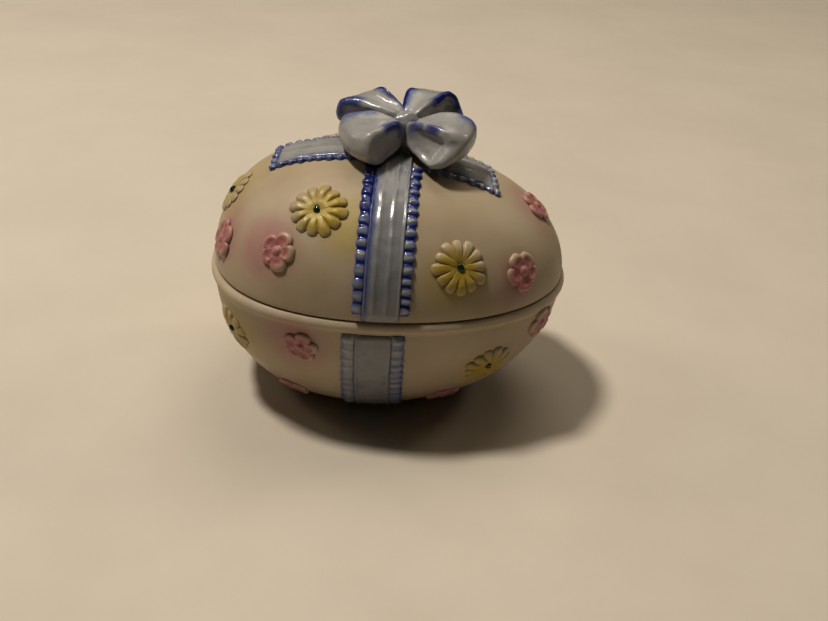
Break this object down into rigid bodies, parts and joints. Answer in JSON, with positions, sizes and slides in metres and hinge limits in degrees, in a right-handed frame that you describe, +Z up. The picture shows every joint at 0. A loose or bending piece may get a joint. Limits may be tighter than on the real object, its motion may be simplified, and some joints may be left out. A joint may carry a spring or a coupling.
{
  "type": "porcelain trinket box",
  "caption": "Egg-shaped porcelain trinket box with a lift-off lid, applied ribbon, picot edging, bow and flowers.",
  "frame": {"origin": "on the flat foot's underside, under the middle of the egg's length", "axes": "+Z up, +X along the egg towards its narrow end, -Y towards its front"},
  "size_m": [0.0762, 0.0604, 0.0651],
  "materials": {
    "ivory_bisque": "satin",
    "ribbon_glaze": "satin",
    "cobalt_enamel": "gloss",
    "yellow_bisque": "satin",
    "pink_bisque": "satin",
    "dark_green_enamel": "gloss"
  },
  "bodies": {
    "base": {"base_blossom_back_right": "pink_bisque", "base_blossom_front_left": "pink_bisque", "base_blossom_low_left": "pink_bisque", "base_blossom_low_right": "pink_bisque", "base_blossom_right_end": "pink_bisque", "base_daisy_back_left": "yellow_bisque", "base_daisy_back_left_eye": "dark_green_enamel", "base_daisy_back_right": "yellow_bisque", "base_daisy_back_right_eye": "dark_green_enamel", "base_daisy_front_right": "yellow_bisque", "base_daisy_front_right_eye": "dark_green_enamel", "base_daisy_left_end": "yellow_bisque", "base_daisy_left_end_eye": "dark_green_enamel", "base_picot_back_left": "cobalt_enamel", "base_picot_back_right": "cobalt_enamel", "base_picot_front_left": "cobalt_enamel", "base_picot_front_right": "cobalt_enamel", "base_ribbon_back": "ribbon_glaze", "base_ribbon_front": "ribbon_glaze", "base_shell": "ivory_bisque"},
    "lid": {"bow_knot": "ribbon_glaze", "bow_loop_back_left": "ribbon_glaze", "bow_loop_back_right": "ribbon_glaze", "bow_loop_front_left": "ribbon_glaze", "bow_loop_front_right": "ribbon_glaze", "lid_blossom_back_left": "pink_bisque", "lid_blossom_back_right": "pink_bisque", "lid_blossom_front_left": "pink_bisque", "lid_blossom_front_right": "pink_bisque", "lid_blossom_left_end": "pink_bisque", "lid_blossom_right_end": "pink_bisque", "lid_daisy_back_left": "yellow_bisque", "lid_daisy_back_left_eye": "dark_green_enamel", "lid_daisy_back_right": "yellow_bisque", "lid_daisy_back_right_eye": "dark_green_enamel", "lid_daisy_front_left": "yellow_bisque", "lid_daisy_front_left_eye": "dark_green_enamel", "lid_daisy_front_right": "yellow_bisque", "lid_daisy_front_right_eye": "dark_green_enamel", "lid_daisy_left_end": "yellow_bisque", "lid_daisy_left_end_eye": "dark_green_enamel", "lid_picot_back_left": "cobalt_enamel", "lid_picot_back_right": "cobalt_enamel", "lid_picot_front_left": "cobalt_enamel", "lid_picot_front_right": "cobalt_enamel", "lid_ribbon": "ribbon_glaze", "lid_shell": "ivory_bisque", "tail_left": "ribbon_glaze", "tail_left_edge_back": "cobalt_enamel", "tail_left_edge_front": "cobalt_enamel", "tail_left_hem": "cobalt_enamel", "tail_right": "ribbon_glaze", "tail_right_edge_back": "cobalt_enamel", "tail_right_edge_front": "cobalt_enamel", "tail_right_hem": "cobalt_enamel"}
  },
  "joints": [
    {"name": "lid_lift", "type": "slide", "parent": "base", "child": "lid", "axis": [0, 0, 1], "range_m": [0, 0.06]}
  ]
}
